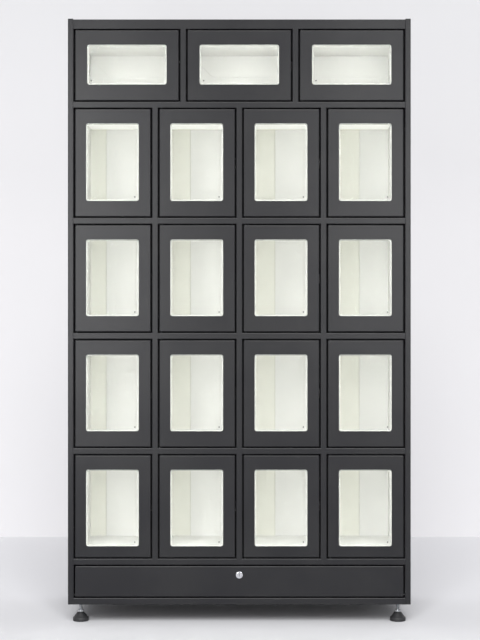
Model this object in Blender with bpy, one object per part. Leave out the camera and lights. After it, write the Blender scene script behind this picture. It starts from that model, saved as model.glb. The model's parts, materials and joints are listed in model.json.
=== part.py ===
"""Smart locker: a powder-coated steel cabinet with 19 windowed compartment doors and a keyed service flap.

Metres, +Z up, +X to the right, and the doors face -Y. The origin is on the floor, under the middle.
"""

import math

import bmesh
import bpy
from mathutils import Matrix, Vector

# Sheet metal and fits
SHEET = 0.0015
LINER_SHEET = 0.0009
FOLD_RADIUS = 0.002
FIT_GAP = 0.0003
OVERRUN = 0.004
WELD_DISTANCE = 0.00003
FOLD_STEPS = 2

# Cabinet
CABINET_WIDTH = 1.000
BODY_DEPTH = 0.450
BODY_BOTTOM = 0.0535
SIDE_STEP = 0.0023
SIDE_FLANGE = 0.015
PAN_LIP = 0.012

# Front grid: what shows of each post and rail, and the openings between them
STILE = 0.0174
MULLION = 0.018
RAIL = 0.0183
BOTTOM_RAIL = 0.019
TOP_RAIL = 0.0280
SERVICE_OPENING = 0.0963
LOW_ROW_OPENING = 0.3043
ROW_OPENING = 0.3174
UPPER_ROW_OPENING = 0.3202
TOP_ROW_OPENING = 0.2117
UPRIGHT_COLUMNS = 4
TOP_COLUMNS = 3

# Doors
DOOR_GAP = 0.0035
DOOR_DEPTH = 0.018
PIVOT_INSET = 0.006
PIVOT_DEPTH = 0.005
SWING_GAP = 0.0007
PIN_RADIUS = 0.002
PIN_REACH = 0.001
PIN_SIDES = 8
STRIKE_THICKNESS = 0.0025
STRIKE_HEIGHT = 0.022
STRIKE_REACH = 0.014
STRIKE_ROOT = 0.008
STRIKE_HOLE = 0.009

# Windows: how much of the door shows at each side of them
WINDOW_LEFT_MARGIN = 0.0321
WINDOW_RIGHT_MARGIN = 0.0347
WINDOW_TOP_MARGIN = 0.0412
WINDOW_BOTTOM_MARGIN = 0.0456
LOW_WINDOW_BOTTOM_MARGIN = 0.0326
TOP_WINDOW_SIDE_MARGIN = 0.0356
TOP_WINDOW_TOP_MARGIN = 0.0417
TOP_WINDOW_BOTTOM_MARGIN = 0.0465
WINDOW_RADIUS = 0.0065
CORNER_STEPS = 4
PANE_THICKNESS = 0.003
PANE_MARGIN = 0.012

# Compartment liners
LEDGE = 0.010
LINER_DEPTH = 0.390
COVER_THICKNESS = 0.0015
COVER_CHAMFER_SHARE = 0.9
COVER_WIDTH_SHARES = (0.236, 0.342, 0.452, 0.558)
TOP_COVER_HEIGHT_SHARE = 0.344
LATCH_WIDTH = 0.020
LATCH_HEIGHT = 0.070
LATCH_DEPTH = 0.045
LATCH_SLOT_GAP = 0.003

# Key lock of the service flap
LOCK_DROP = 0.0257
LOCK_FACE_RADIUS = 0.01035
LOCK_FACE_THICKNESS = 0.0022
LOCK_BARREL_RADIUS = 0.008
LOCK_NUT_RADIUS = 0.0115
LOCK_NUT_THICKNESS = 0.005
LOCK_LENGTH = 0.0222
PLUG_RADIUS = 0.0056
KEY_SLOT_WIDTH = 0.0022
KEY_SLOT_HEIGHT = 0.0085
KEY_SLOT_DEPTH = 0.004
CAM_LENGTH = 0.036
CAM_WIDTH = 0.014
CAM_THICKNESS = 0.002
ROUND_SIDES = 24

# Levelling feet
FOOT_INSET = 0.0345
PAD_RADIUS = 0.023
PAD_RIM = 0.012
PAD_EDGE = 0.0009
PAD_HEIGHT = 0.027
PAD_NECK_RADIUS = 0.009
NUT_RADIUS = 0.0088
NUT_HEIGHT = 0.006
NUT_SIDES = 6
STUD_RADIUS = 0.005
STUD_REACH = 0.022
STUD_SIDES = 12
BOSS_RADIUS = 0.010
BOSS_HEIGHT = 0.010

# Service bay
BOX_STAND_OFF = 0.060
CONTROLLER_WIDTH = 0.240
CONTROLLER_DEPTH = 0.160
CONTROLLER_HEIGHT = 0.055
CONTROLLER_INSET = 0.280
SUPPLY_WIDTH = 0.110
SUPPLY_DEPTH = 0.200
SUPPLY_HEIGHT = 0.045
SUPPLY_INSET = 0.280
TAB_LENGTH = 0.014
TAB_THICKNESS = 0.002
TAB_SHARES = (0.25, 0.75)
TERMINAL_INSET = 0.020
TERMINAL_DEPTH = 0.014
TERMINAL_SHARES = (0.25, 0.5)
LID_THICKNESS = 0.002
LID_LIP = 0.002
INLET_INSET = 0.120
INLET_HEIGHT_ABOVE_BASE = 0.060
INLET_WIDTH = 0.028
INLET_HEIGHT = 0.048
INLET_DEPTH = 0.026
INLET_FLANGE = 0.008
INLET_WALL = 0.003
INLET_PIN_WIDTH = 0.006
INLET_PIN_THICKNESS = 0.002
INLET_PIN_PITCH = 0.012
VENT_WIDTH = 0.090
VENT_HEIGHT = 0.005
VENT_PITCH = 0.014
VENT_COUNT = 6

# Places that follow from the sizes
INNER_HALF = CABINET_WIDTH / 2 - STILE
COLUMN_OPENING = (2 * INNER_HALF - (UPRIGHT_COLUMNS - 1) * MULLION) / UPRIGHT_COLUMNS
TOP_COLUMN_OPENING = (2 * INNER_HALF - (TOP_COLUMNS - 1) * MULLION) / TOP_COLUMNS
ROW_OPENINGS = (LOW_ROW_OPENING, ROW_OPENING, ROW_OPENING, UPPER_ROW_OPENING, TOP_ROW_OPENING)
FRAME_TOP = (
    BODY_BOTTOM + BOTTOM_RAIL + SERVICE_OPENING + len(ROW_OPENINGS) * RAIL + sum(ROW_OPENINGS) + TOP_RAIL
)
SWING_RADIUS = math.hypot(PIVOT_INSET, DOOR_DEPTH - PIVOT_DEPTH)
FRAME_DEPTH = PIVOT_DEPTH + SWING_RADIUS + SWING_GAP
FRONT = -(BODY_DEPTH - LOCK_FACE_THICKNESS) / 2
SHELL_HALF = CABINET_WIDTH / 2 - SHEET - FIT_GAP
PAN_FRONT = FRONT + FRAME_DEPTH + FIT_GAP
BACK_PANEL_FRONT = FRONT + BODY_DEPTH - 2 * SHEET - FIT_GAP
PAN_BACK = BACK_PANEL_FRONT - FIT_GAP
SERVICE_LOW = BODY_BOTTOM + BOTTOM_RAIL
PANE_FACE_DEPTH = FIT_GAP
PANE_SEAT_DEPTH = SHEET + FIT_GAP
PIN_LENGTH = DOOR_GAP + SHEET + PIN_REACH
CONTROLLER_CENTRE = CONTROLLER_INSET - CABINET_WIDTH / 2
SUPPLY_CENTRE = CABINET_WIDTH / 2 - SUPPLY_INSET


def material(name, colour, roughness, metallic=0.0, alpha=1.0):
    """A Principled material in one plain finish."""
    made = bpy.data.materials.new(name)
    made.use_nodes = True
    shader = made.node_tree.nodes["Principled BSDF"]
    shader.inputs["Base Color"].default_value = (*colour, 1.0)
    shader.inputs["Roughness"].default_value = roughness
    shader.inputs["Metallic"].default_value = metallic
    shader.inputs["Alpha"].default_value = alpha
    return made


def clear_scene():
    for old in list(bpy.data.objects):
        bpy.data.objects.remove(old)


def add_box(bm, low, high):
    """A box between two corners."""
    low, high = Vector(low), Vector(high)
    place = Matrix.Translation((low + high) / 2) @ Matrix.Diagonal((*(high - low), 1.0))
    return bmesh.ops.create_cube(bm, size=1.0, matrix=place)["verts"]


def add_rod(bm, start, along, radius, sides):
    """A round bar from start along a vector."""
    along = Vector(along)
    turn = along.to_track_quat("Z", "Y").to_matrix().to_4x4()
    place = Matrix.Translation(Vector(start) + along / 2) @ turn
    return bmesh.ops.create_cone(
        bm,
        cap_ends=True,
        segments=sides,
        radius1=radius,
        radius2=radius,
        depth=along.length,
        matrix=place,
    )["verts"]


def rounded_outline(low, high, radius, steps):
    """Corners of a rounded rectangle in x and z, anticlockwise as seen from the front."""
    centres = (
        (high[0] - radius, high[1] - radius),
        (low[0] + radius, high[1] - radius),
        (low[0] + radius, low[1] + radius),
        (high[0] - radius, low[1] + radius),
    )
    points = []
    for quarter, (x, z) in enumerate(centres):
        for step in range(steps + 1):
            angle = math.radians(90) * (quarter + step / steps)
            points.append((x + radius * math.cos(angle), z + radius * math.sin(angle)))
    return points


def add_prism(bm, outline, start, end, axis=1):
    """An outline extruded along y, or along the axis given. Its points leave that axis out."""
    corners = []
    for across, other in outline:
        corner = [across, other]
        corner.insert(axis, start)
        corners.append(bm.verts.new(corner))
    grown = bmesh.ops.extrude_face_region(bm, geom=[bm.faces.new(corners)])
    moved = [v for v in grown["geom"] if isinstance(v, bmesh.types.BMVert)]
    reach = Vector((0, 0, 0))
    reach[axis] = end - start
    bmesh.ops.translate(bm, vec=reach, verts=moved)
    bmesh.ops.recalc_face_normals(bm, faces=bm.faces)


def mesh_object(name, bm, surface=None):
    """An object that takes over a bmesh."""
    mesh = bpy.data.meshes.new(name)
    bm.to_mesh(mesh)
    bm.free()
    if surface:
        mesh.materials.append(surface)
    made = bpy.data.objects.new(name, mesh)
    bpy.context.scene.collection.objects.link(made)
    return made


def shaped(target, steps):
    """Cuts from, or joins to, the target the shapes in steps, and keeps the result as its mesh."""
    tools = []
    for operation, bm in steps:
        tool = mesh_object(target.name + "_tool", bm)
        tool.hide_render = True
        tool.display_type = "WIRE"
        change = target.modifiers.new(operation, "BOOLEAN")
        change.operation = operation
        change.object = tool
        tools.append(tool)
    graph = bpy.context.evaluated_depsgraph_get()
    result = bpy.data.meshes.new_from_object(target.evaluated_get(graph))
    target.modifiers.clear()
    target.data = result
    for tool in tools:
        bpy.data.objects.remove(tool)
    return target


def round_off(target, angle=35):
    target.data.shade_smooth()
    target.data.set_sharp_from_angle(angle=math.radians(angle))
    return target


def box_shape(low, high):
    bm = bmesh.new()
    add_box(bm, low, high)
    return bm


def row_bands():
    """Low and high edge of each row of openings, from the lowest row up."""
    bands = []
    low = SERVICE_LOW + SERVICE_OPENING + RAIL
    for height in ROW_OPENINGS:
        bands.append((low, low + height))
        low += height + RAIL
    return bands


def column_bands(columns):
    """Left and right edge of each opening in a row."""
    width = TOP_COLUMN_OPENING if columns == TOP_COLUMNS else COLUMN_OPENING
    starts = [-INNER_HALF + index * (width + MULLION) for index in range(columns)]
    return [(left, left + width) for left in starts]


def row_columns(row):
    return TOP_COLUMNS if row == len(ROW_OPENINGS) - 1 else UPRIGHT_COLUMNS


def cells():
    """Each compartment's name and the edges of its opening."""
    for row, (low, high) in enumerate(row_bands()):
        columns = row_columns(row)
        for column, (left, right) in enumerate(column_bands(columns)):
            if columns == TOP_COLUMNS:
                name = f"top_{column + 1}"
            else:
                name = f"{len(ROW_OPENINGS) - 1 - row}_{column + 1}"
            yield name, row, column, (left, right), (low, high)


def add_mouth(bm, left, right, low, high, back):
    """A cutter for an opening whose front edges are folded round."""
    rings = [(FRONT + back + OVERRUN, 0.0)]
    for step in range(FOLD_STEPS + 1):
        angle = math.radians(90) * step / FOLD_STEPS
        growth = FOLD_RADIUS * (1 - math.cos(angle))
        rings.append((FRONT + FOLD_RADIUS * (1 - math.sin(angle)), growth))
    rings.append((FRONT - OVERRUN, FOLD_RADIUS))
    loops = []
    for y, growth in rings:
        corners = (
            (left - growth, low - growth),
            (right + growth, low - growth),
            (right + growth, high + growth),
            (left - growth, high + growth),
        )
        loops.append([bm.verts.new((x, y, z)) for x, z in corners])
    for near, far in zip(loops, loops[1:]):
        for index in range(len(near)):
            following = (index + 1) % len(near)
            bm.faces.new((near[index], near[following], far[following], far[index]))
    bm.faces.new(loops[0])
    bm.faces.new(loops[-1])
    bmesh.ops.recalc_face_normals(bm, faces=bm.faces)


def front_frame(surface):
    """The welded grid of rails and mullions, folded from sheet and open at the back."""
    half = CABINET_WIDTH / 2 - SIDE_FLANGE - FIT_GAP
    blank = box_shape((-half, FRONT, BODY_BOTTOM), (half, FRONT + FRAME_DEPTH, FRAME_TOP))
    frame = mesh_object("front_frame", blank, surface)
    mouths, rails, mullions, holes = (bmesh.new() for _ in range(4))
    hole_radius = PIN_RADIUS + FIT_GAP
    add_mouth(mouths, -INNER_HALF, INNER_HALF, SERVICE_LOW, SERVICE_LOW + SERVICE_OPENING, FRAME_DEPTH)
    for _, _, _, (left, right), (low, high) in cells():
        add_mouth(mouths, left, right, low, high, FRAME_DEPTH)
        pivot = (left + DOOR_GAP + PIVOT_INSET, FRONT + PIVOT_DEPTH)
        add_rod(holes, (*pivot, high - OVERRUN), (0, 0, SHEET + 2 * OVERRUN), hole_radius, PIN_SIDES)
        add_rod(holes, (*pivot, low + OVERRUN), (0, 0, -SHEET - 2 * OVERRUN), hole_radius, PIN_SIDES)
    inside, back = FRONT + SHEET, FRONT + FRAME_DEPTH + OVERRUN
    edges = [BODY_BOTTOM, SERVICE_LOW, SERVICE_LOW + SERVICE_OPENING]
    for low, high in row_bands():
        edges += [low, high]
    edges.append(FRAME_TOP)
    for low, high in zip(edges[::2], edges[1::2]):
        add_box(rails, (-INNER_HALF, inside, low + SHEET), (INNER_HALF, back, high - SHEET))
    for row, (low, high) in enumerate(row_bands()):
        bands = column_bands(row_columns(row))
        for (_, left), (right, _) in zip(bands, bands[1:]):
            add_box(
                mullions, (left + SHEET, inside, low - 2 * SHEET), (right - SHEET, back, high + 2 * SHEET)
            )
    for side in (-1, 1):
        flap_pivot = (side * (INNER_HALF - OVERRUN), FRONT + PIVOT_DEPTH, flap_pivot_height())
        reach = side * (STILE - SIDE_FLANGE + 2 * OVERRUN)
        add_rod(holes, flap_pivot, (reach, 0, 0), hole_radius, PIN_SIDES)
    return shaped(
        frame,
        [("DIFFERENCE", mouths), ("DIFFERENCE", rails), ("DIFFERENCE", mullions), ("DIFFERENCE", holes)],
    )


def side_panel(name, side, surface):
    """A side sheet folded in at the front and at the back."""
    outer = CABINET_WIDTH / 2
    inner = outer - SIDE_FLANGE
    back = FRONT + BODY_DEPTH
    corner = [
        (outer - FOLD_RADIUS * (1 - math.sin(turn)), FRONT + FOLD_RADIUS * (1 - math.cos(turn)))
        for turn in (math.radians(90) * step / FOLD_STEPS for step in range(FOLD_STEPS + 1))
    ]
    outline = [
        (inner, FRONT),
        *corner,
        (outer, back),
        (inner, back),
        (inner, back - SHEET),
        (outer - SHEET, back - SHEET),
        (outer - SHEET, FRONT + SHEET),
        (inner + SHEET, FRONT + SHEET),
        (inner + SHEET, FRONT + DOOR_DEPTH),
        (inner, FRONT + DOOR_DEPTH),
    ]
    bm = bmesh.new()
    add_prism(bm, [(side * x, y) for x, y in outline], BODY_BOTTOM, FRAME_TOP + SIDE_STEP, axis=2)
    return mesh_object(name, bm, surface)


def shallow_pan(name, plate, lip_end, surface):
    """A horizontal sheet with folded lips. Its outer face lies at plate, and its lips end at lip_end."""
    low, high = min(plate, lip_end), max(plate, lip_end)
    inward = math.copysign(SHEET, lip_end - plate)
    beyond = math.copysign(OVERRUN, lip_end - plate)
    blank = box_shape((-SHELL_HALF, PAN_FRONT, low), (SHELL_HALF, PAN_BACK, high))
    pan = mesh_object(name, blank, surface)
    ends = sorted((plate + inward, lip_end + beyond))
    hollow = box_shape(
        (-SHELL_HALF + SHEET, PAN_FRONT + SHEET, ends[0]), (SHELL_HALF - SHEET, PAN_BACK - SHEET, ends[1])
    )
    return shaped(pan, [("DIFFERENCE", hollow)])


def foot_places():
    """Name and centre of each levelling foot."""
    across = CABINET_WIDTH / 2 - FOOT_INSET
    near, far = FRONT + FOOT_INSET, FRONT + BODY_DEPTH - FOOT_INSET
    return {
        "front_left": (-across, near),
        "front_right": (across, near),
        "rear_left": (-across, far),
        "rear_right": (across, far),
    }


def base_panel(surface):
    """The floor pan, with a weld nut over each foot."""
    pan = shallow_pan("base_panel", BODY_BOTTOM, BODY_BOTTOM + PAN_LIP, surface)
    bosses, bores = bmesh.new(), bmesh.new()
    for x, y in foot_places().values():
        add_rod(bosses, (x, y, BODY_BOTTOM + SHEET / 2), (0, 0, BOSS_HEIGHT), BOSS_RADIUS, STUD_SIDES)
        add_rod(
            bores,
            (x, y, BODY_BOTTOM - OVERRUN),
            (0, 0, BOSS_HEIGHT + SHEET + 2 * OVERRUN),
            STUD_RADIUS + FIT_GAP,
            STUD_SIDES,
        )
    return shaped(pan, [("UNION", bosses), ("DIFFERENCE", bores)])


def inlet_centre():
    return CABINET_WIDTH / 2 - INLET_INSET, BODY_BOTTOM + INLET_HEIGHT_ABOVE_BASE


def back_panel(surface):
    """The rear sheet, with vent slots and the cut-out for the mains inlet."""
    near, far = BACK_PANEL_FRONT, BACK_PANEL_FRONT + SHEET
    blank = box_shape((-SHELL_HALF, near, BODY_BOTTOM), (SHELL_HALF, far, FRAME_TOP))
    panel = mesh_object("back_panel", blank, surface)
    cuts = bmesh.new()
    x, z = inlet_centre()
    half_width, half_height = INLET_WIDTH / 2 + FIT_GAP, INLET_HEIGHT / 2 + FIT_GAP
    add_box(
        cuts,
        (x - half_width, near - OVERRUN, z - half_height),
        (x + half_width, far + OVERRUN, z + half_height),
    )
    for centre in (CONTROLLER_CENTRE, SUPPLY_CENTRE):
        for index in range(VENT_COUNT):
            low = BODY_BOTTOM + BOTTOM_RAIL + index * VENT_PITCH
            add_box(
                cuts,
                (centre - VENT_WIDTH / 2, near - OVERRUN, low),
                (centre + VENT_WIDTH / 2, far + OVERRUN, low + VENT_HEIGHT),
            )
    return shaped(panel, [("DIFFERENCE", cuts)])


def pocket(left, right, low, high):
    """The inside of a compartment's liner, as its two corners."""
    back = PAN_FRONT + LINER_DEPTH - LINER_SHEET
    return (left + LEDGE, PAN_FRONT, low + LEDGE), (right - LEDGE, back, high - LEDGE)


def cover_outline(column, row, inner_low, inner_high):
    """The wiring cover on a liner's back wall: a plate with one corner cut off."""
    bite = LINER_SHEET / 2
    left, right = inner_low[0], inner_high[0]
    low, high = inner_low[2], inner_high[2]
    if row_columns(row) == TOP_COLUMNS:
        size = (high - low) * TOP_COVER_HEIGHT_SHARE
        chamfer = size * COVER_CHAMFER_SHARE
        return [
            (left - bite, high + bite),
            (left - bite, high - size + chamfer),
            (left + chamfer, high - size),
            (right + bite, high - size),
            (right + bite, high + bite),
        ]
    size = (right - left) * COVER_WIDTH_SHARES[column]
    chamfer = size * COVER_CHAMFER_SHARE
    return [
        (left - bite, low - bite),
        (left + size - chamfer, low - bite),
        (left + size, low + chamfer),
        (left + size, high + bite),
        (left - bite, high + bite),
    ]


def strike_side(right):
    """Left and right face of a door's strike, from the right edge of its opening."""
    outer = right - DOOR_GAP - SHEET
    return outer - STRIKE_THICKNESS, outer


def row_liner(row, name, surface):
    """One row's compartments: a front plate with an open tub behind each door and a latch beside it."""
    row_low, row_high = row_bands()[row]
    low, high = row_low - (RAIL - FIT_GAP) / 2, row_high + (RAIL - FIT_GAP) / 2
    plate = box_shape((-SHELL_HALF, PAN_FRONT, low), (SHELL_HALF, PAN_FRONT + LINER_SHEET, high))
    liner = mesh_object(name, plate, surface)
    tubs, latches, pockets, covers, slots = (bmesh.new() for _ in range(5))
    for _, cell_row, column, (left, right), (cell_low, cell_high) in cells():
        if cell_row != row:
            continue
        inner_low, inner_high = pocket(left, right, cell_low, cell_high)
        bite = LINER_SHEET / 2
        add_box(
            tubs,
            (inner_low[0] - LINER_SHEET, PAN_FRONT + bite, inner_low[2] - LINER_SHEET),
            (inner_high[0] + LINER_SHEET, inner_high[1] + LINER_SHEET, inner_high[2] + LINER_SHEET),
        )
        add_box(pockets, (inner_low[0], PAN_FRONT - OVERRUN, inner_low[2]), inner_high)
        add_prism(
            covers,
            cover_outline(column, row, inner_low, inner_high),
            inner_high[1] - COVER_THICKNESS,
            inner_high[1] + bite,
        )
        middle = (cell_low + cell_high) / 2
        tub_side = inner_high[0] + bite
        add_box(
            latches,
            (tub_side, PAN_FRONT + bite, middle - LATCH_HEIGHT / 2),
            (tub_side + LATCH_WIDTH, PAN_FRONT + LATCH_DEPTH, middle + LATCH_HEIGHT / 2),
        )
        _, strike_right = strike_side(right)
        slot_half = STRIKE_HEIGHT / 2 + LATCH_SLOT_GAP
        add_box(
            slots,
            (inner_high[0] + LINER_SHEET, PAN_FRONT - OVERRUN, middle - slot_half),
            (
                strike_right + LATCH_SLOT_GAP,
                FRONT + DOOR_DEPTH + STRIKE_REACH + LATCH_SLOT_GAP,
                middle + slot_half,
            ),
        )
    return shaped(
        liner,
        [
            ("UNION", tubs),
            ("UNION", latches),
            ("DIFFERENCE", pockets),
            ("UNION", covers),
            ("DIFFERENCE", slots),
        ],
    )


def folded_pan(name, low, high, surface):
    """A door skin: a shallow tray folded from sheet, round at its front edges and open at the back."""
    bm = bmesh.new()
    add_box(bm, low, high)
    rear = high[1]
    edges = [e for e in bm.edges if not all(abs(v.co.y - rear) < FIT_GAP for v in e.verts)]
    bmesh.ops.bevel(
        bm,
        geom=edges,
        offset=FOLD_RADIUS,
        segments=FOLD_STEPS,
        profile=0.5,
        affect="EDGES",
        material=-1,
    )
    return mesh_object(name, bm, surface)


def pan_hollow(low, high):
    """The cutter that leaves a folded pan one sheet thick and open at the back."""
    return box_shape(
        (low[0] + SHEET, low[1] + SHEET, low[2] + SHEET),
        (high[0] - SHEET, high[1] + OVERRUN, high[2] - SHEET),
    )


def window_edges(row, width, height):
    """Two corners of a row's windows in x and z, in a door's own frame."""
    if row_columns(row) == TOP_COLUMNS:
        left, right = TOP_WINDOW_SIDE_MARGIN, width - TOP_WINDOW_SIDE_MARGIN
        low, high = TOP_WINDOW_BOTTOM_MARGIN, height - TOP_WINDOW_TOP_MARGIN
    else:
        left, right = WINDOW_LEFT_MARGIN, width - WINDOW_RIGHT_MARGIN
        low = WINDOW_BOTTOM_MARGIN if row else LOW_WINDOW_BOTTOM_MARGIN
        high = height - WINDOW_TOP_MARGIN
    return (left - PIVOT_INSET, low), (right - PIVOT_INSET, high)


def door_mesh(width, height, window, surface):
    """A door with its window cut-out, pins and strike. Its origin is the low end of its hinge axis."""
    low = (-PIVOT_INSET, -PIVOT_DEPTH, 0)
    high = (width - PIVOT_INSET, DOOR_DEPTH - PIVOT_DEPTH, height)
    door = folded_pan("door_pattern", low, high, surface)
    glass, pins, strike, latch_hole = (bmesh.new() for _ in range(4))
    outline = rounded_outline(*window, WINDOW_RADIUS, CORNER_STEPS)
    add_prism(glass, outline, -PIVOT_DEPTH - OVERRUN, -PIVOT_DEPTH + SHEET + OVERRUN)
    add_rod(pins, (0, 0, SHEET / 2), (0, 0, -SHEET / 2 - PIN_LENGTH), PIN_RADIUS, PIN_SIDES)
    add_rod(pins, (0, 0, height - SHEET / 2), (0, 0, SHEET / 2 + PIN_LENGTH), PIN_RADIUS, PIN_SIDES)
    strike_left, strike_right = strike_side(high[0] + DOOR_GAP)
    middle = height / 2
    tip = high[1] + STRIKE_REACH
    add_box(
        strike,
        (strike_left, high[1] - STRIKE_ROOT, middle - STRIKE_HEIGHT / 2),
        (strike_right + SHEET / 2, tip, middle + STRIKE_HEIGHT / 2),
    )
    hole_middle = tip - STRIKE_HOLE
    add_box(
        latch_hole,
        (strike_left - OVERRUN, hole_middle - STRIKE_HOLE / 2, middle - STRIKE_HOLE / 2),
        (strike_right + 2 * SHEET + OVERRUN, hole_middle + STRIKE_HOLE / 2, middle + STRIKE_HOLE / 2),
    )
    shaped(
        door,
        [
            ("DIFFERENCE", pan_hollow(low, high)),
            ("DIFFERENCE", glass),
            ("UNION", pins),
            ("UNION", strike),
            ("DIFFERENCE", latch_hole),
        ],
    )
    return kept_mesh(door)


def pane_mesh(window, surface):
    """A clear pane with a raised middle that fills the door's cut-out."""
    (left, low), (right, high) = window
    seat = -PIVOT_DEPTH + PANE_SEAT_DEPTH
    plate = box_shape(
        (left - PANE_MARGIN, seat, low - PANE_MARGIN),
        (right + PANE_MARGIN, seat + PANE_THICKNESS, high + PANE_MARGIN),
    )
    pane = mesh_object("pane_pattern", plate, surface)
    raised = bmesh.new()
    fill = rounded_outline(
        (left + FIT_GAP, low + FIT_GAP),
        (right - FIT_GAP, high - FIT_GAP),
        WINDOW_RADIUS - FIT_GAP,
        CORNER_STEPS,
    )
    add_prism(raised, fill, -PIVOT_DEPTH + PANE_FACE_DEPTH, seat + PANE_THICKNESS / 2)
    shaped(pane, [("UNION", raised)])
    return kept_mesh(pane)


def kept_mesh(pattern):
    """The finished mesh of a pattern object, whose object goes."""
    round_off(pattern)
    mesh = pattern.data
    bpy.data.objects.remove(pattern)
    return mesh


def empty_at(name, place):
    pivot = bpy.data.objects.new(name, None)
    pivot.location = place
    bpy.context.scene.collection.objects.link(pivot)
    return pivot


def hung(name, mesh, pivot):
    """An object of this mesh that hangs on a pivot."""
    made = bpy.data.objects.new(name, mesh)
    made.parent = pivot
    bpy.context.scene.collection.objects.link(made)
    return made


def doors_and_windows(door_surface, pane_surface):
    """Each compartment's door and its pane. Doors of one size share a mesh."""
    patterns = {}
    for name, row, _, (left, right), (low, high) in cells():
        width, height = right - left - 2 * DOOR_GAP, high - low - 2 * DOOR_GAP
        if row not in patterns:
            window = window_edges(row, width, height)
            patterns[row] = (door_mesh(width, height, window, door_surface), pane_mesh(window, pane_surface))
        pivot = empty_at(
            "pivot_" + name, (left + DOOR_GAP + PIVOT_INSET, FRONT + PIVOT_DEPTH, low + DOOR_GAP)
        )
        door, pane = patterns[row]
        hung("door_" + name, door, pivot)
        hung("window_" + name, pane, pivot)


def flap_pivot_height():
    return SERVICE_LOW + DOOR_GAP + PIVOT_INSET


def lock_height():
    """The key lock's centre above the floor."""
    return SERVICE_LOW + SERVICE_OPENING - DOOR_GAP - LOCK_DROP


def service_flap(surface):
    """The flap over the service bay, with a hinge pin at each end and a hole for the lock."""
    half, height = INNER_HALF - DOOR_GAP, SERVICE_OPENING - 2 * DOOR_GAP
    low = (-half, -PIVOT_DEPTH, -PIVOT_INSET)
    high = (half, DOOR_DEPTH - PIVOT_DEPTH, height - PIVOT_INSET)
    flap = folded_pan("service_flap", low, high, surface)
    pins, lock_hole = bmesh.new(), bmesh.new()
    for side in (-1, 1):
        reach = side * (SHEET / 2 + DOOR_GAP + SHEET)
        add_rod(pins, (side * (half - SHEET / 2), 0, 0), (reach, 0, 0), PIN_RADIUS, PIN_SIDES)
    drop = lock_height() - flap_pivot_height()
    add_rod(
        lock_hole,
        (0, -PIVOT_DEPTH - OVERRUN, drop),
        (0, SHEET + 2 * OVERRUN, 0),
        LOCK_BARREL_RADIUS + FIT_GAP,
        ROUND_SIDES,
    )
    shaped(flap, [("DIFFERENCE", pan_hollow(low, high)), ("UNION", pins), ("DIFFERENCE", lock_hole)])
    flap.location = (0, FRONT + PIVOT_DEPTH, flap_pivot_height())
    return round_off(flap)


def lock_housing(surface):
    """The lock's barrel, with its face ring in front of the flap and its nut behind it."""
    face = bmesh.new()
    add_rod(face, (0, -FIT_GAP, 0), (0, -LOCK_FACE_THICKNESS + FIT_GAP, 0), LOCK_FACE_RADIUS, ROUND_SIDES)
    housing = mesh_object("lock_housing", face, surface)
    barrel, nut, bore = (bmesh.new() for _ in range(3))
    add_rod(barrel, (0, -SHEET, 0), (0, LOCK_LENGTH + SHEET, 0), LOCK_BARREL_RADIUS, ROUND_SIDES)
    add_rod(nut, (0, SHEET + FIT_GAP, 0), (0, LOCK_NUT_THICKNESS, 0), LOCK_NUT_RADIUS, NUT_SIDES)
    add_rod(
        bore,
        (0, -LOCK_FACE_THICKNESS - OVERRUN, 0),
        (0, LOCK_LENGTH + LOCK_FACE_THICKNESS + 2 * OVERRUN, 0),
        PLUG_RADIUS + FIT_GAP,
        ROUND_SIDES,
    )
    shaped(housing, [("UNION", barrel), ("UNION", nut), ("DIFFERENCE", bore)])
    housing.location = (0, FRONT, lock_height())
    return round_off(housing)


def lock_plug(surface):
    """The turning plug, with the key slot in its face."""
    plug = bmesh.new()
    start = -LOCK_FACE_THICKNESS + FIT_GAP
    add_rod(plug, (0, start, 0), (0, LOCK_LENGTH - start, 0), PLUG_RADIUS, ROUND_SIDES)
    made = mesh_object("lock_plug", plug, surface)
    slot = box_shape(
        (-KEY_SLOT_WIDTH / 2, start - OVERRUN, -KEY_SLOT_HEIGHT / 2),
        (KEY_SLOT_WIDTH / 2, start + KEY_SLOT_DEPTH, KEY_SLOT_HEIGHT / 2),
    )
    shaped(made, [("DIFFERENCE", slot)])
    made.location = (0, FRONT, lock_height())
    return round_off(made)


def lock_cam(surface):
    """The tongue on the plug's end. It lies sideways, unlocked, and stands up behind the rail when turned."""
    near = LOCK_LENGTH + FIT_GAP
    half = CAM_WIDTH / 2
    outline = [
        (half, -half),
        (half, half),
        (-CAM_LENGTH + half, half),
        (-CAM_LENGTH, 0),
        (-CAM_LENGTH + half, -half),
    ]
    bm = bmesh.new()
    add_prism(bm, outline, near, near + CAM_THICKNESS)
    cam = mesh_object("lock_cam", bm, surface)
    cam.location = (0, FRONT, lock_height())
    return cam


def turned_profile(bm, profile, sides):
    """A solid of revolution about z, from (radius, height) points that start and end on the axis."""
    verts = [bm.verts.new((radius, 0, height)) for radius, height in profile]
    edges = [bm.edges.new(pair) for pair in zip(verts, verts[1:])]
    bmesh.ops.spin(
        bm,
        geom=verts + edges,
        axis=(0, 0, 1),
        cent=(0, 0, 0),
        angle=math.radians(360),
        steps=sides,
        use_merge=True,
    )
    bmesh.ops.remove_doubles(bm, verts=bm.verts, dist=WELD_DISTANCE)
    bmesh.ops.recalc_face_normals(bm, faces=bm.faces)


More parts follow.
